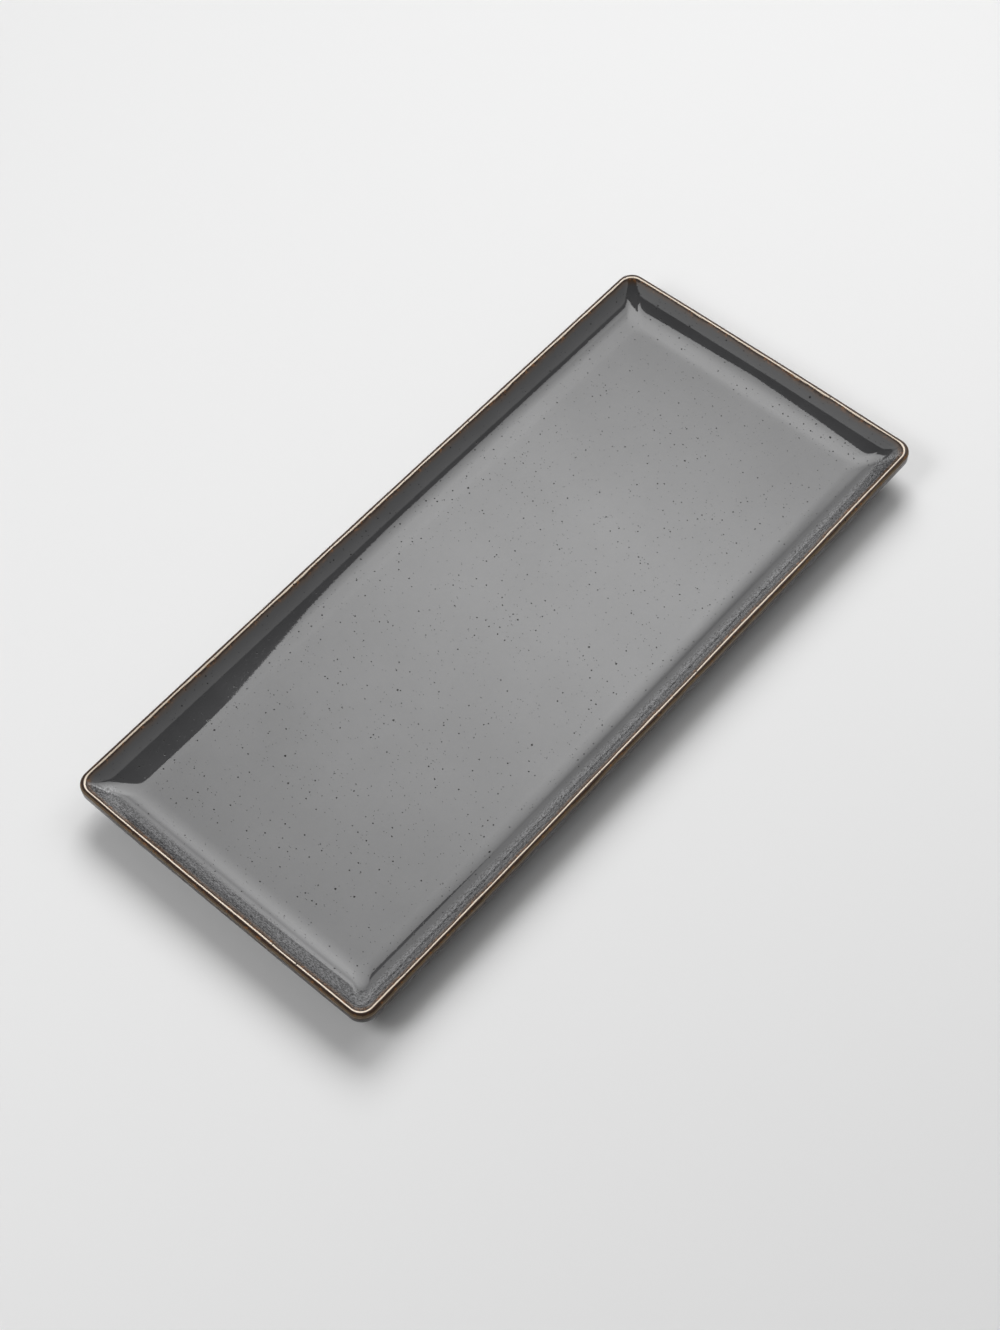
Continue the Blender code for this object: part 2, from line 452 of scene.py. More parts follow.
def warped(tree, given, position, height):
    """Pulls the sides and the floor about, as firing does, and leaves the foot flat."""
    scale = add_node(tree, "ShaderNodeMath", {0: 1.0, 1: given["Warp Length"]}, operation="DIVIDE")
    waves = add_node(
        tree, "ShaderNodeTexNoise",
        {"Vector": position, "Scale": scale, "Detail": 1.0, "Roughness": 0.4},
    )
    waves = add_node(
        tree, "ShaderNodeVectorMath", {0: waves.outputs["Color"], 1: (0.5, 0.5, 0.5)},
        operation="SUBTRACT",
    )
    depth = add_node(
        tree, "ShaderNodeCombineXYZ",
        {"X": given["Warp"], "Y": given["Warp"], "Z": given["Floor Wave"]},
    )
    waves = add_node(tree, "ShaderNodeVectorMath", {0: waves, 1: depth}, operation="MULTIPLY")
    free = add_node(
        tree, "ShaderNodeMath", {0: given["Flat Height"], 1: 2.0}, operation="MULTIPLY"
    )
    free = add_node(
        tree, "ShaderNodeMapRange",
        {"Value": height, "From Min": given["Flat Height"], "From Max": free},
    )
    waves = add_node(tree, "ShaderNodeVectorMath", {0: waves, "Scale": free}, operation="SCALE")
    return add_node(tree, "ShaderNodeVectorMath", {0: position, 1: waves}, operation="ADD")


def sweep_tree(name):
    """Builds the tree that sweeps an outline round a rectangle with rounded corners."""
    tree = bpy.data.node_groups.new(name, "GeometryNodeTree")
    for kind, names in (
        ("Geometry", ("Outline",)),
        ("Float", SWEEP_LENGTHS),
        ("Int", SWEEP_STEPS),
        ("Material", ("Material",)),
    ):
        for title in names:
            tree.interface.new_socket(title, in_out="INPUT", socket_type="NodeSocket" + kind)
    tree.interface.new_socket("Piece", in_out="OUTPUT", socket_type="NodeSocketGeometry")
    given = add_node(tree, "NodeGroupInput").outputs

    # One half goes round a corner, along a long side, round a corner and along a short side
    marks = [given["Corner Steps"]]
    for title in ("Long Side Steps", "Corner Steps", "Short Side Steps"):
        marks.append(add_node(
            tree, "FunctionNodeIntegerMath", {0: marks[-1], 1: given[title]}, operation="ADD"
        ))
    half = marks[-1]
    columns = add_node(
        tree, "FunctionNodeIntegerMath", {0: half, 1: 2, 2: 1}, operation="MULTIPLY_ADD"
    )

    # The grid has a column for each step round the platter and a row for each outline point
    rows = add_node(tree, "GeometryNodeAttributeDomainSize", {"Geometry": given["Outline"]})
    grid = add_node(tree, "GeometryNodeMeshGrid", {"Vertices X": columns, "Vertices Y": rows})
    index = add_node(tree, "GeometryNodeInputIndex")
    row = add_node(tree, "FunctionNodeIntegerMath", {0: index, 1: rows}, operation="MODULO")
    column = add_node(
        tree, "FunctionNodeIntegerMath", {0: index, 1: rows}, operation="DIVIDE_FLOOR"
    )
    place = add_node(tree, "FunctionNodeIntegerMath", {0: column, 1: half}, operation="MODULO")
    turns = add_node(
        tree, "FunctionNodeIntegerMath", {0: column, 1: half}, operation="DIVIDE_FLOOR"
    )

    # The second half is the first one, turned half way round the platter's middle
    inset, height, from_lip = outline_values(tree, given["Outline"], row)
    size = add_node(tree, "ShaderNodeCombineXYZ", {"X": given["Length"], "Y": given["Width"]})
    half_size = add_node(tree, "ShaderNodeVectorMath", {0: size, "Scale": 0.5}, operation="SCALE")
    plan = half_ring(tree, given, place, marks, inset, half_size)
    angle = add_node(tree, "ShaderNodeMath", {0: turns, 1: math.pi}, operation="MULTIPLY")
    plan = add_node(
        tree, "ShaderNodeVectorRotate", {"Vector": plan, "Angle": angle}, rotation_type="Z_AXIS"
    )
    plan = bowed(tree, given, plan, half_size)
    level = add_node(tree, "ShaderNodeCombineXYZ", {"Z": height})
    position = add_node(tree, "ShaderNodeVectorMath", {0: plan, 1: level}, operation="ADD")
    position = warped(tree, given, position, height)

    placed = add_node(
        tree, "GeometryNodeSetPosition", {"Geometry": grid.outputs["Mesh"], "Position": position}
    )
    marked = add_node(
        tree, "GeometryNodeStoreNamedAttribute",
        {"Geometry": placed, "Name": "from_lip", "Value": from_lip},
        data_type="FLOAT", domain="POINT",
    )
    closed = add_node(
        tree, "GeometryNodeMergeByDistance", {"Geometry": marked, "Distance": SEAM_WIDTH}
    )
    smooth = add_node(tree, "GeometryNodeSetShadeSmooth", {"Geometry": closed})
    realized = add_node(tree, "GeometryNodeRealizeInstances", {"Geometry": smooth})
    coated = add_node(
        tree, "GeometryNodeSetMaterial", {"Geometry": realized, "Material": given["Material"]}
    )
    add_node(tree, "NodeGroupOutput", {"Piece": coated})
    return tree


def swept_piece(name, outline, material):
    """Sweeps an outline round the platter with the tree and keeps the result as a plain mesh."""
    sizes = bpy.context.scene.platter_sizes
    piece = add_object(name, outline_mesh(name + "_outline", sizes, divided(outline)))
    title = "Sweep round the platter"
    tree = bpy.data.node_groups.get(title) or sweep_tree(title)
    modifier = piece.modifiers.new("Sweep", "NODES")
    modifier.node_group = tree
    values = {
        "Length": sizes.length,
        "Width": sizes.width,
        "Corner Radius": sizes.corner_radius,
        "Well Corner Radius": sizes.well_corner_radius,
        "Side Bow": sizes.side_bow,
        "Warp": sizes.warp,
        "Warp Length": sizes.warp_length,
        "Floor Wave": sizes.floor_wave,
        "Flat Height": sizes.bare_height * 2,
        "Material": material,
        **SWEEP_STEPS,
    }
    for item in tree.interface.items_tree:
        if item.in_out == "INPUT" and item.name in values:
            modifier[item.identifier] = values[item.name]
    depsgraph = bpy.context.evaluated_depsgraph_get()
    mesh = bpy.data.meshes.new_from_object(
        piece.evaluated_get(depsgraph), preserve_all_data_layers=True, depsgraph=depsgraph
    )
    piece.modifiers.clear()
    piece.data = mesh
    turn_outwards(mesh)
    mesh.set_sharp_from_angle(angle=SHARP_ANGLE)
    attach(piece, "root")
    return piece


def turn_outwards(mesh):
    """Makes the faces of a closed mesh look outwards."""
    edited = bmesh.new()
    edited.from_mesh(mesh)
    bmesh.ops.recalc_face_normals(edited, faces=edited.faces)
    edited.to_mesh(mesh)
    edited.free()


def coat_outline(sizes, name):
    """The closed outline of one coat of glaze: its surface and then the clay under it."""
    zone = clay_zones(sizes)[name]
    surface = raised(zone, sizes.coat)
    if name == "overhang":
        surface += rolled_edge(zone[-1], sizes.coat, 1)
    if name == "base":
        surface = rolled_edge(zone[0], sizes.coat, -1)[::-1] + surface
    outline = places(surface + zone[::-1])
    return outline if name in ("well", "base") else outline + outline[:1]


def new_material(name):
    """Starts a material and returns it with its shader."""
    material = bpy.data.materials.new(name)
    material.use_nodes = True
    return material, material.node_tree.nodes["Principled BSDF"]


def lip_band(tree, look, place, lip):
    """The colour across the lip, and in its alpha the share of the gloss."""
    # The brown reaches further down the wall in some places than in others
    wander = add_node(
        tree, "ShaderNodeTexNoise",
        {"Vector": place, "Scale": 1 / look.wander_length, "Detail": 4.0, "Roughness": 0.6},
    )
    wander = add_node(
        tree, "ShaderNodeMapRange",
        {"Value": wander, "From Min": 0.3, "From Max": 0.7, "To Min": 0.7, "To Max": 1.35},
    )
    run = add_node(tree, "ShaderNodeMath", {0: lip, 1: wander}, operation="MULTIPLY")

    # Each stop is the distance from the crest in millimetres, the colour and the share of gloss
    stops = (
        (-6.0, look.grey, 1.0),
        # Dark brown here, under the lip's outer face, is painted shade
        (-3.6, look.brown_dark_and_shade, 0.5),
        (-2.6, look.outer, 0.5),
        (-1.2, look.outer, 0.4),
        (-0.8, look.brown_dark_and_shade, 0.25),
        (0.08, look.brown_dark_and_shade, 0.25),
        # The pale crest is partly clay under thin glaze and partly a painted highlight
        (0.26, look.crest, 0.6),
        (0.66, look.crest, 0.8),
        (0.86, look.brown_dark_and_shade, 0.35),
        (1.2, look.brown_dark_and_shade, 0.45),
        (2.0, look.brown, 1.0),
        (3.9, look.grey, 1.0),
    )
    reach = 10 * MM
    run = add_node(
        tree, "ShaderNodeMapRange", {"Value": run, "From Min": -reach, "From Max": reach}
    )
    band = add_node(tree, "ShaderNodeValToRGB", {"Fac": run})
    elements = band.color_ramp.elements
    for distance, colour, share in stops:
        element = elements.new(0.5 + distance * MM / (2 * reach))
        element.color = (*colour, share)
    elements.remove(elements[0])
    elements.remove(elements[-1])
    return band


def faded(tree, amount, distance, ends):
    """Fades an amount out at its ends, each the millimetres that have none and all of it."""
    for none, full in ends:
        shown = add_node(
            tree, "ShaderNodeMapRange",
            {"Value": distance, "From Min": none * MM, "From Max": full * MM},
        )
        amount = add_node(tree, "ShaderNodeMath", {0: amount, 1: shown}, operation="MULTIPLY")
    return amount


def with_drips(tree, look, place, lip, band):
    """Orange brown drips run down from the crest on both sides."""
    drips = add_node(
        tree, "ShaderNodeTexNoise",
        {"Vector": place, "Scale": 1 / look.drip_length, "Detail": 3.0, "Roughness": 0.6},
    )
    drips = add_node(
        tree, "ShaderNodeMapRange", {"Value": drips, "From Min": 0.55, "From Max": 0.66}
    )
    off_crest = add_node(tree, "ShaderNodeMath", {0: lip}, operation="ABSOLUTE")
    drips = faded(tree, drips, off_crest, ((3.0, 0.8), (0.5, 0.9)))
    return add_node(
        tree, "ShaderNodeMix", {0: drips, 6: band, 7: (*look.drip, 1.0)}, data_type="RGBA"
    ).outputs[2]


def with_clouded_well(tree, look, place, lip, lip_colour):
    """The well's grey has soft clouds where the glaze lies thinner."""
    clouds = add_node(
        tree, "ShaderNodeTexNoise",
        {"Vector": place, "Scale": 1 / look.cloud_length, "Detail": 5.0, "Roughness": 0.62},
    )
    clouds = add_node(
        tree, "ShaderNodeMapRange", {"Value": clouds, "From Min": 0.35, "From Max": 0.7}
    )
    grey = add_node(
        tree, "ShaderNodeMix",
        {0: clouds, 6: (*look.grey, 1.0), 7: (*look.grey_thin, 1.0)}, data_type="RGBA",
    )
    in_well = add_node(
        tree, "ShaderNodeMapRange", {"Value": lip, "From Min": 2.5 * MM, "From Max": 6.0 * MM}
    )
    return add_node(
        tree, "ShaderNodeMix", {0: in_well, 6: lip_colour, 7: grey.outputs[2]}, data_type="RGBA"
    ).outputs[2]


def iron_specks(tree, look, place):
    """Iron specks and pinholes, a few larger ones among many small ones."""
    specks = 0.0

    # How many times further apart and wider than the common ones, and the share that is there
    for apart, wider, share in ((1.0, 1.0, 0.6), (3.2, 1.4, 0.45), (0.45, 0.5, 0.5)):
        spacing = look.speck_spacing * apart
        radius = look.speck_width * wider / 2 / spacing
        cells = add_node(tree, "ShaderNodeTexVoronoi", {"Vector": place, "Scale": 1 / spacing})
        dot = add_node(
            tree, "ShaderNodeMapRange",
            {"Value": cells.outputs["Distance"],
             "From Min": radius * 1.15, "From Max": radius * 0.6},
        )
        chance = add_node(tree, "ShaderNodeSeparateColor", {"Color": cells.outputs["Color"]})
        chosen = add_node(
            tree, "ShaderNodeMath", {0: chance.outputs["Red"], 1: share}, operation="LESS_THAN"
        )
        dot = add_node(tree, "ShaderNodeMath", {0: dot, 1: chosen}, operation="MULTIPLY")
        specks = add_node(tree, "ShaderNodeMath", {0: dot, 1: specks}, operation="MAXIMUM")
    return specks


def sandy_sheen_walls(tree, place):
    """One on the walls at -X and at -Y, which meet in a mitre, and nothing on the other two."""
    sizes = bpy.context.scene.platter_sizes
    wall_reach = 15 * MM
    fade = 6 * MM
    mitre_half = 2 * MM
    mitre = (sizes.length - sizes.width) / 2
    axes = add_node(tree, "ShaderNodeSeparateXYZ", {"Vector": place}).outputs
    both = add_node(tree, "ShaderNodeMath", {0: axes["X"], 1: axes["Y"]}, operation="ADD")
    sandy = 0.0
    for axis, half, corner in (
        (axes["X"], sizes.length / 2, -mitre), (axes["Y"], sizes.width / 2, mitre),
    ):
        edge = wall_reach - half
        wall = add_node(
            tree, "ShaderNodeMapRange", {"Value": axis, "From Min": edge + fade, "From Max": edge}
        )
        own = add_node(
            tree, "ShaderNodeMapRange",
            {"Value": both, "From Min": corner + mitre_half, "From Max": corner - mitre_half},
        )
        wall = add_node(tree, "ShaderNodeMath", {0: wall, 1: own}, operation="MULTIPLY")
        sandy = add_node(tree, "ShaderNodeMath", {0: wall, 1: sandy}, operation="MAXIMUM")
    return sandy


def sand_grain(tree, look, place, lip):
    """Grain of the sandy skin, drawn out along the wall."""
    times_longer = 1.9
    density = 1 / look.grain_length
    down = add_node(
        tree, "ShaderNodeMath", {0: lip, 1: look.grain_length / times_longer}, operation="DIVIDE"
    )
    down = add_node(tree, "ShaderNodeCombineXYZ", {"Z": down})
    lie = add_node(
        tree, "ShaderNodeVectorMath", {0: place, 1: (density, density, 0.0), 2: down},
        operation="MULTIPLY_ADD",
    )
    return add_node(
        tree, "ShaderNodeTexNoise", {"Vector": lie, "Scale": 1.0, "Detail": 2.0, "Roughness": 0.7}
    )


def sandy_skin(tree, lip, walls):
    """Where the sandy skin lies, and the light left by a painted shade line along its walls."""
    skin = faded(tree, walls, lip, ((1.0, 2.0), (12.0, 9.0)))
    shade_line_middle = 4.15 * MM
    shade_line_half = 0.25 * MM
    shade_line_light = 0.6
    # A painted shade line along the two sandy walls, about 4 mm below the crest
    painted_shade_line = add_node(
        tree, "ShaderNodeMath", {0: lip, 1: shade_line_middle, 2: shade_line_half}, operation="COMPARE"
    )
    painted_shade_line = add_node(tree, "ShaderNodeMath", {0: painted_shade_line, 1: walls}, operation="MULTIPLY")
    light = add_node(
        tree, "ShaderNodeMapRange", {"Value": painted_shade_line, "To Min": 1.0, "To Max": shade_line_light}
    )
    return skin, light


def grain_sheen_share(tree, grain, skin, least, most):
    """The share of the light sent back: one off the sandy skin, and on it more, as a grainy painted
    sheen.
    """
    share = add_node(
        tree, "ShaderNodeMapRange",
        {"Value": grain, "From Min": 0.38, "From Max": 0.62, "To Min": least, "To Max": most},
    )
    return add_node(tree, "ShaderNodeMix", {0: skin, 2: 1.0, 3: share}, data_type="FLOAT")


def glaze_relief(tree, look, place, lip, grain, skin, specks):
    """Orange peel, strong on the walls and faint on the floor, with the grain and the pinholes."""
    grain_height = 0.3
    pinhole_height = -2.0
    peel = add_node(
        tree, "ShaderNodeTexNoise",
        {"Vector": place, "Scale": 1 / look.ripple_length, "Detail": 1.5, "Roughness": 0.5},
    )
    steep = add_node(
        tree, "ShaderNodeMapRange",
        {"Value": lip, "From Min": 19 * MM, "From Max": 12 * MM, "To Min": 0.4, "To Max": 0.7},
    )
    depth = add_node(tree, "ShaderNodeMath", {0: peel, 1: steep}, operation="MULTIPLY")
    relief = add_node(tree, "ShaderNodeMath", {0: skin, 1: grain_height}, operation="MULTIPLY")
    depth = add_node(
        tree, "ShaderNodeMath", {0: grain, 1: relief, 2: depth}, operation="MULTIPLY_ADD"
    )
    depth = add_node(
        tree, "ShaderNodeMath", {0: specks, 1: pinhole_height, 2: depth},
        operation="MULTIPLY_ADD",
    )
    return add_node(
        tree, "ShaderNodeBump", {"Height": depth, "Strength": 1.0, "Distance": look.ripple}
    )


def glaze_material(name, look):
    """Iron-bearing stoneware glaze, dipped and fired in reduction.

    It is dark grey and glossy where it lies thick, breaks to brown and then to a pale line over
    the lip, which is partly clay under thin glaze and partly a painted highlight, and has iron
    specks and pinholes. It runs on the walls, which ripples their gloss, and two of the walls have
    a sandy skin, with a painted sheen and a painted shade line on it.
    """
    material, shader = new_material(name)
    tree = material.node_tree
    shader.inputs["IOR"].default_value = 1.5
    place = add_node(tree, "ShaderNodeTexCoord").outputs["Object"]
    lip = add_node(tree, "ShaderNodeAttribute", attribute_name="from_lip").outputs["Fac"]
    specks = iron_specks(tree, look, place)
    grain = sand_grain(tree, look, place, lip)
    skin, painted_shade_line = sandy_skin(tree, lip, sandy_sheen_walls(tree, place))

    # Colour: the lip's band and the well, with the painted sheen and shade line, under the specks
    band = lip_band(tree, look, place, lip)
    colour = with_drips(tree, look, place, lip, band)
    colour = with_clouded_well(tree, look, place, lip, colour)
    # The grain makes the two walls lighter on average: a painted sheen
    light = grain_sheen_share(tree, grain, skin, least=0.35, most=2.6)
    light = add_node(tree, "ShaderNodeMath", {0: light, 1: painted_shade_line}, operation="MULTIPLY")
    colour = add_node(
        tree, "ShaderNodeVectorMath", {0: colour, "Scale": light}, operation="SCALE"
    )
    colour = add_node(
        tree, "ShaderNodeMix", {0: specks, 6: colour, 7: (*look.speck, 1.0)}, data_type="RGBA"
    )
    tree.links.new(colour.outputs[2], shader.inputs["Base Color"])

    # Gloss: the glaze is matt where it is thin over the lip, and in the specks, and the painted
    # shade line dims its shine
    gloss = band.outputs["Alpha"]
    matt = add_node(tree, "ShaderNodeMath", {0: 1.0, 1: gloss}, operation="SUBTRACT")
    matt = add_node(tree, "ShaderNodeMath", {0: specks, 1: matt}, operation="MAXIMUM")
    roughness = add_node(
        tree, "ShaderNodeMapRange",
        {"Value": matt, "To Min": look.roughness, "To Max": look.matt_roughness},
    )
    tree.links.new(roughness.outputs[0], shader.inputs["Roughness"])
    shine = add_node(
        tree, "ShaderNodeMapRange", {"Value": specks, "To Min": 0.5, "To Max": 0.12}
    )
    for share in (grain_sheen_share(tree, grain, skin, least=0.7, most=1.25), painted_shade_line, gloss):
        shine = add_node(tree, "ShaderNodeMath", {0: shine, 1: share}, operation="MULTIPLY")
    tree.links.new(shine.outputs[0], shader.inputs["Specular IOR Level"])

    relief = glaze_relief(tree, look, place, lip, grain, skin, specks)
    tree.links.new(relief.outputs[0], shader.inputs["Normal"])
    return material


def clay_material(name, look):
    """Bare stoneware clay, pressed, fired and wiped with a sponge: matt, with fine dark grog."""
    material, shader = new_material(name)
    tree = material.node_tree
    shader.inputs["Roughness"].default_value = 0.85
    shader.inputs["IOR"].default_value = 1.5
    place = add_node(tree, "ShaderNodeTexCoord").outputs["Object"]

    # Cloudy tone
    tone = add_node(
        tree, "ShaderNodeTexNoise",
        {"Vector": place, "Scale": 1 / look.tone_length, "Detail": 6.0, "Roughness": 0.65},
    )
    darkest = tuple(channel * 0.62 for channel in look.clay)
    colour = add_node(
        tree, "ShaderNodeMix", {0: tone, 6: (*darkest, 1.0), 7: (*look.clay, 1.0)},
        data_type="RGBA",
    )

    # Grog, a dark grain in the middle of each cell, given as shares of the cell
    grog = add_node(tree, "ShaderNodeTexVoronoi", {"Vector": place, "Scale": 1 / look.grog_spacing})
    grains = add_node(
        tree, "ShaderNodeMapRange",
        {"Value": grog.outputs["Distance"], "From Min": 0.16, "From Max": 0.1, "To Max": 0.7},
    )
    colour = add_node(
        tree, "ShaderNodeMix",
        {0: grains, 6: colour.outputs[2], 7: (*look.speck, 1.0)}, data_type="RGBA",
    )
    tree.links.new(colour.outputs[2], shader.inputs["Base Color"])

    # Fine sand, left standing by the sponge
    sand = add_node(
        tree, "ShaderNodeTexNoise", {"Vector": place, "Scale": 1 / look.sand_length, "Detail": 3.0}
    )
    bump = add_node(
        tree, "ShaderNodeBump", {"Height": sand, "Strength": 0.6, "Distance": look.sand_depth}
    )
    tree.links.new(bump.outputs[0], shader.inputs["Normal"])
    return material


def shared_material(name, builder):
    """Returns a material by its name, or builds it from the look's settings."""
    return bpy.data.materials.get(name) or builder(name, bpy.context.scene.platter_look)


def add_coat(piece_name, zone, node):
    """Adds one coat of glaze and puts it in the place of its node."""
    sizes = bpy.context.scene.platter_sizes
    material = shared_material("Dipped iron stoneware glaze", glaze_material)
    piece = swept_piece(piece_name, coat_outline(sizes, zone), material)
    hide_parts(node)


class AddClay(bpy.types.Operator):
    """Add the clay body, which shows at the bare foot"""

    bl_idname = "platter.add_clay"
    bl_label = "Add clay body"

    def execute(self, context):
        outline = []
        for zone in clay_zones(context.scene.platter_sizes).values():
            outline += places(zone)
        outline = [point for point, after in zip(outline, outline[1:] + [None]) if point != after]
        material = shared_material("Bare fired stoneware", clay_material)
        piece = swept_piece("clay_body", outline, material)
        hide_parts("stoneware_body")
        return {"FINISHED"}


class AddWellGlaze(bpy.types.Operator):
    """Add the grey glaze of the floor and the walls"""

    bl_idname = "platter.add_well_glaze"
    bl_label = "Add well glaze"

    def execute(self, context):
        add_coat("grey_well", "well", "well_glaze")
        return {"FINISHED"}


class AddLipGlaze(bpy.types.Operator):
    """Add the brown glaze over the lip"""

    bl_idname = "platter.add_lip_glaze"
    bl_label = "Add lip glaze"

    def execute(self, context):
        add_coat("brown_lip", "lip", "rim_glaze")
        return {"FINISHED"}


class AddOuterGlaze(bpy.types.Operator):
    """Add the glaze under the overhanging wall"""

    bl_idname = "platter.add_outer_glaze"
    bl_label = "Add outer glaze"

    def execute(self, context):
        add_coat("outer_wall", "overhang", "overhang_glaze")
        return {"FINISHED"}


class AddBaseGlaze(bpy.types.Operator):
    """Add the glaze under the base, inside the foot ring"""

    bl_idname = "platter.add_base_glaze"
    bl_label = "Add base glaze"

    def execute(self, context):
        add_coat("glazed_base", "base", "base_glaze")
        return {"FINISHED"}


def pointing(direction):
    """The turn that makes a light or a camera look back along a direction."""
    return Vector(direction).to_track_quat("Z", "Y").to_matrix()


def towards(azimuth, elevation):
    """The direction at an azimuth from +X and an elevation, both in degrees."""
    a, e = math.radians(azimuth), math.radians(elevation)
    return Vector((math.cos(a) * math.cos(e), math.sin(a) * math.cos(e), math.sin(e)))


def add_light(name, direction, distance, width, power):
    """Adds a soft round light that looks at the platter and isn't mirrored in the glaze."""
    light = bpy.data.lights.new(name, "AREA")
    light.shape = "DISK"
    light.size = width
    light.energy = power
    lamp = add_object(name, light)
    lamp.location = direction * distance
    lamp.rotation_euler = pointing(direction).to_euler()
    lamp.visible_glossy = False
    lamp.visible_camera = False


def add_table(stage):
    """The pale painted board that the platter stands on."""
    mesh = bpy.data.meshes.new("table")
    signs = ((-1, -1), (1, -1), (1, 1), (-1, 1))
    corners = [(x * TABLE_REACH, y * TABLE_REACH, 0.0) for x, y in signs]
    mesh.from_pydata(corners, [], [(0, 1, 2, 3)])
    material, shader = new_material("Matt painted board")
    shader.inputs["Base Color"].default_value = (*stage.table, 1.0)
    shader.inputs["Roughness"].default_value = 1.0
    shader.inputs["Specular IOR Level"].default_value = 0.0
    mesh.materials.append(material)
    table = add_object("table", mesh)


def add_mirrored_sheet(name, corners, height, material):
    """Adds a flat sheet over the platter that is seen only as its mirror image in the glaze."""
    mesh = bpy.data.meshes.new(name)
    points = [(x * MM, y * MM, height) for x, y in corners]
    mesh.from_pydata(points, [], [list(range(len(points)))[::-1]])
    mesh.materials.append(material)
    sheet = add_object(name, mesh)
    sheet.visible_camera = False
    sheet.visible_diffuse = False
    sheet.visible_shadow = False


def diffuser_material(stage):
    """White diffuser cloth, lit from behind: brightest in the middle, dimmer to its edges."""
    material, shader = new_material("Lit diffuser cloth")
    tree = material.node_tree
    tree.nodes.remove(shader)
    place = add_node(tree, "ShaderNodeTexCoord").outputs["Object"]
    axes = add_node(tree, "ShaderNodeSeparateXYZ", {"Vector": place}).outputs
    strength = stage.softbox_light

    # Each fall-off has its axis, its bright and its dim end in millimetres and the share left
    for axis, bright, dim, left in (
        ("Y", 25, -475, 0.40),
        ("Y", 500, 1700, 0.25),
        ("X", 100, -275, 0.75),
    ):
        share = add_node(
            tree, "ShaderNodeMapRange",
            {"Value": axes[axis], "From Min": bright * MM, "From Max": dim * MM,
             "To Min": 1.0, "To Max": left},
        )
        strength = add_node(tree, "ShaderNodeMath", {0: share, 1: strength}, operation="MULTIPLY")
    glow = add_node(tree, "ShaderNodeEmission", {"Strength": strength})
    tree.links.new(glow.outputs[0], tree.nodes["Material Output"].inputs["Surface"])
    return material


def scrim_material(name, fades):
    """Thin grey scrim cloth. Each fade along X has its ends in millimetres and its change."""
    material, shader = new_material(name)
    tree = material.node_tree
    tree.nodes.remove(shader)
    place = add_node(tree, "ShaderNodeTexCoord").outputs["Object"]
    across = add_node(tree, "ShaderNodeSeparateXYZ", {"Vector": place}).outputs["X"]
    passed = 1.0
    for start, end, change in fades:
        share = add_node(
            tree, "ShaderNodeMapRange",
            {"Value": across, "From Min": start * MM, "From Max": end * MM, "To Max": change},
        )
        passed = add_node(tree, "ShaderNodeMath", {0: share, 1: passed}, operation="ADD")
    sheer = add_node(tree, "ShaderNodeBsdfTransparent", {"Color": passed})
    tree.links.new(sheer.outputs[0], tree.nodes["Material Output"].inputs["Surface"])
    return material


def add_softbox(stage):
    """The large softbox over the far right of the platter, and two scrims below it."""
    # Set from where the well mirrors the light's borders. The left and the lower edge
    # shape the dark wedge and the dark bands along the far walls
    softbox_corners = (
        (-275, 440), (-75, 310), (0, 262), (120, 275), (190, 290), (225, 240), (250, 110),
        (310, -120), (345, -240), (410, -360), (500, -450), (2100, -500), (2150, 830),
        (3400, 1700), (3400, 2600), (1100, 2600), (700, 1850), (400, 1330), (170, 1230), (-50, 575),
    )
    add_mirrored_sheet("softbox", softbox_corners, SOFTBOX_HEIGHT, diffuser_material(stage))
    left_corners = ((-80, -170), (190, -170), (190, 470), (-80, 470))
    left_scrim = scrim_material("Left scrim cloth", ((190, -40, -0.34),))
    add_mirrored_sheet("left_scrim", left_corners, SCRIM_HEIGHT, left_scrim)
    right_corners = ((290, -60), (610, -60), (610, 700), (290, 700))
    right_scrim = scrim_material("Right scrim cloth", ((290, 430, -0.3), (460, 600, 0.3)))
    add_mirrored_sheet("right_scrim", right_corners, SCRIM_HEIGHT, right_scrim)


def set_world(stage):
    """A pale room: plain for the camera and the shade, with a dark ceiling in the gloss."""
    world = bpy.data.worlds.new("Studio")
    bpy.context.scene.world = world
    world.use_nodes = True
    tree = world.node_tree
    background = tree.nodes["Background"]
    direction = add_node(tree, "ShaderNodeTexCoord").outputs["Generated"]

    # The room's walls end higher up on the camera's side than on the far side
    camera_side = towards(-130, 0)
    slant = 0.255
    wall_top = 0.705
    edge_width = 0.02
    ceiling = 0.04
    axis = Vector((0.0, 0.0, 1.0)) - camera_side * slant
    height = add_node(
        tree, "ShaderNodeVectorMath", {0: direction, 1: axis}, operation="DOT_PRODUCT"
    )
    wall = add_node(
        tree, "ShaderNodeMapRange",
        {"Value": height.outputs["Value"], "From Min": wall_top, "From Max": wall_top + edge_width,
         "To Min": 1.0, "To Max": ceiling},
    )

    # They are brightest behind the platter
    mean_light = 1.15
    brighter = Vector((-0.2, 0.6, 0.4))
    turned = add_node(
        tree, "ShaderNodeVectorMath", {0: direction, 1: brighter}, operation="DOT_PRODUCT"
    )
    lit = add_node(
        tree, "ShaderNodeMath", {0: turned.outputs["Value"], 1: mean_light}, operation="ADD"
    )
    gloss = add_node(tree, "ShaderNodeMath", {0: lit, 1: wall}, operation="MULTIPLY")
    rays = add_node(tree, "ShaderNodeLightPath")
    strength = add_node(
        tree, "ShaderNodeMix",
        {0: rays.outputs["Is Glossy Ray"], 2: stage.ambient, 3: gloss}, data_type="FLOAT",
    )
    strength = add_node(
        tree, "ShaderNodeMix",
        {0: rays.outputs["Is Camera Ray"], 2: strength, 3: stage.backdrop}, data_type="FLOAT",
    )
    background.inputs["Color"].default_value = (1.0, 1.0, 1.0, 1.0)
    tree.links.new(strength.outputs[0], background.inputs["Strength"])


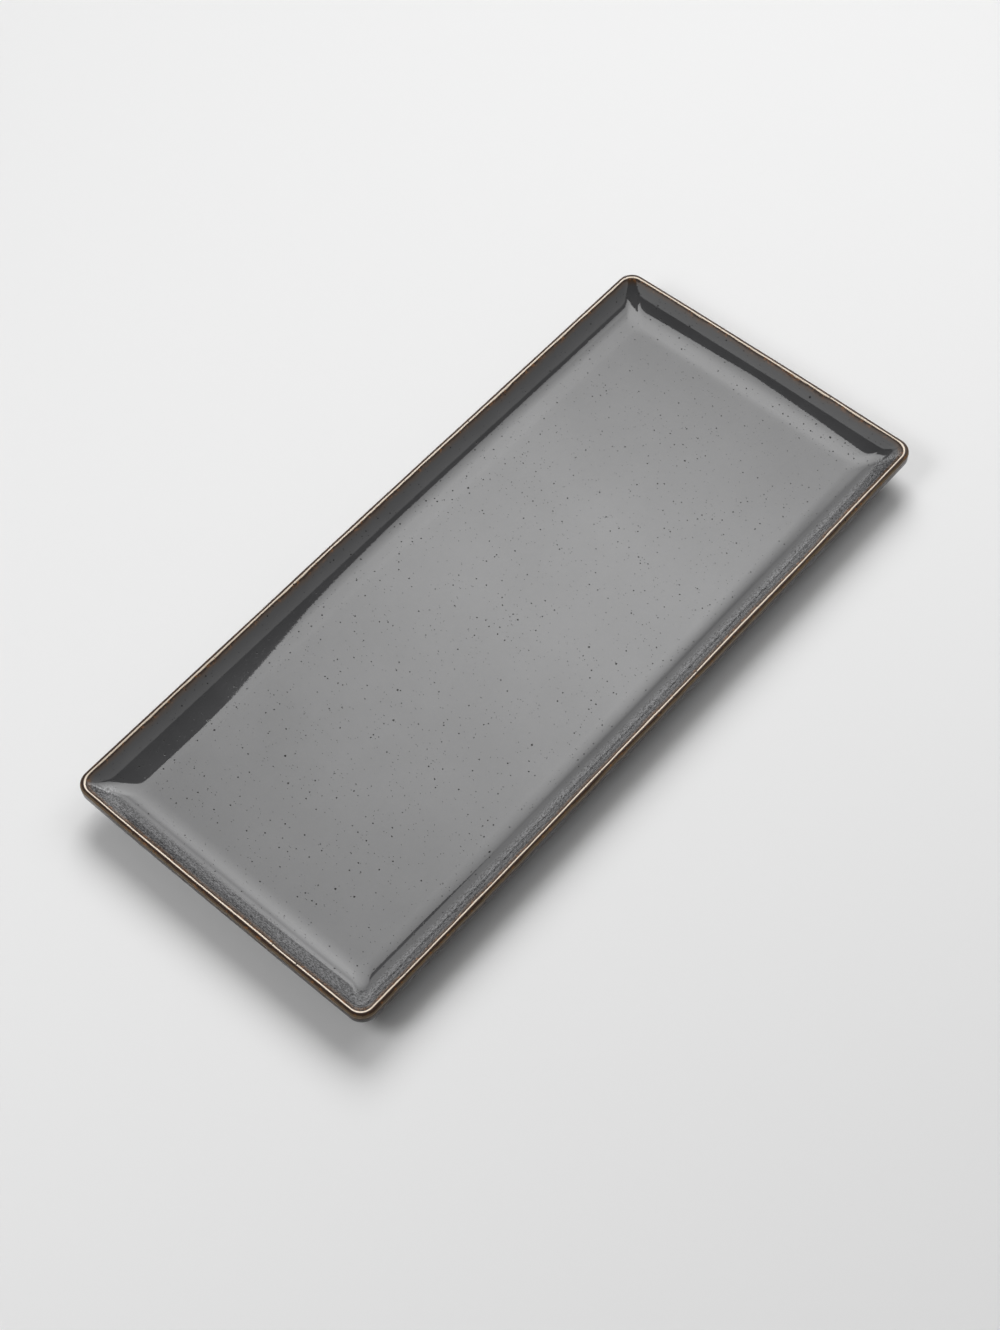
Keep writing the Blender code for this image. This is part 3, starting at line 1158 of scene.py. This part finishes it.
def add_camera():
    """The camera at the photograph's viewing angle."""
    camera = add_object("camera", bpy.data.cameras.new("camera"))
    camera.data.lens = CAMERA_LENS
    camera.data.sensor_width = SENSOR_WIDTH
    camera.location = CAMERA_PLACE
    roll = Matrix.Rotation(CAMERA_ROLL, 3, "Z")
    camera.rotation_euler = (pointing(CAMERA_PLACE - CAMERA_AIM) @ roll).to_euler()
    bpy.context.scene.camera = camera


class SetStage(bpy.types.Operator):
    """Add the table, the lights, the room and the camera"""

    bl_idname = "platter.set_stage"
    bl_label = "Set the stage"

    def execute(self, context):
        stage = context.scene.platter_stage
        add_table(stage)
        add_softbox(stage)

        # Direction, distance and width in metres, and power, fitted to the shades on the table
        for name, direction, distance, width, power in (
            ("key_light", towards(42, 48), 2.56, 1.64, stage.key_power),
            ("fill_light", towards(158, 53), 1.11, 0.46, stage.fill_power),
            ("side_light", towards(-12, 57), 0.90, 0.64, stage.side_power),
        ):
            add_light(name, direction, distance, width, power)
        set_world(stage)
        add_camera()
        context.scene.view_settings.view_transform = "Standard"
        return {"FINISHED"}


class VIEW3D_PT_platter(bpy.types.Panel):
    """Lists the sizes, the colours and the pieces of the platter"""

    bl_label = "Platter"
    bl_space_type = "VIEW_3D"
    bl_region_type = "UI"
    bl_category = "Platter"

    def draw(self, context):
        for group in GROUPS:
            settings = getattr(context.scene, group)
            box = self.layout.box()
            for name in settings.__annotations__:
                box.prop(settings, name)
        for operator in OPERATORS:
            self.layout.operator(operator.bl_idname)


GROUPS = {
    "platter_sizes": PlatterSizes,
    "platter_look": GlazeLook,
    "platter_stage": StudioStage,
}
OPERATORS = (AddClay, AddWellGlaze, AddLipGlaze, AddOuterGlaze, AddBaseGlaze, SetStage)


def register():
    for name, group in GROUPS.items():
        bpy.utils.register_class(group)
        setattr(bpy.types.Scene, name, bpy.props.PointerProperty(type=group))
    for operator in OPERATORS:
        bpy.utils.register_class(operator)
    bpy.utils.register_class(VIEW3D_PT_platter)


def unregister():
    bpy.utils.unregister_class(VIEW3D_PT_platter)
    for operator in reversed(OPERATORS):
        bpy.utils.unregister_class(operator)
    for name, group in GROUPS.items():
        delattr(bpy.types.Scene, name)
        bpy.utils.unregister_class(group)


def main():
    register()
    bpy.ops.platter.add_clay()
    bpy.ops.platter.add_well_glaze()
    bpy.ops.platter.add_lip_glaze()
    bpy.ops.platter.add_outer_glaze()
    bpy.ops.platter.add_base_glaze()
    bpy.ops.platter.set_stage()


if __name__ == "__main__":
    main()
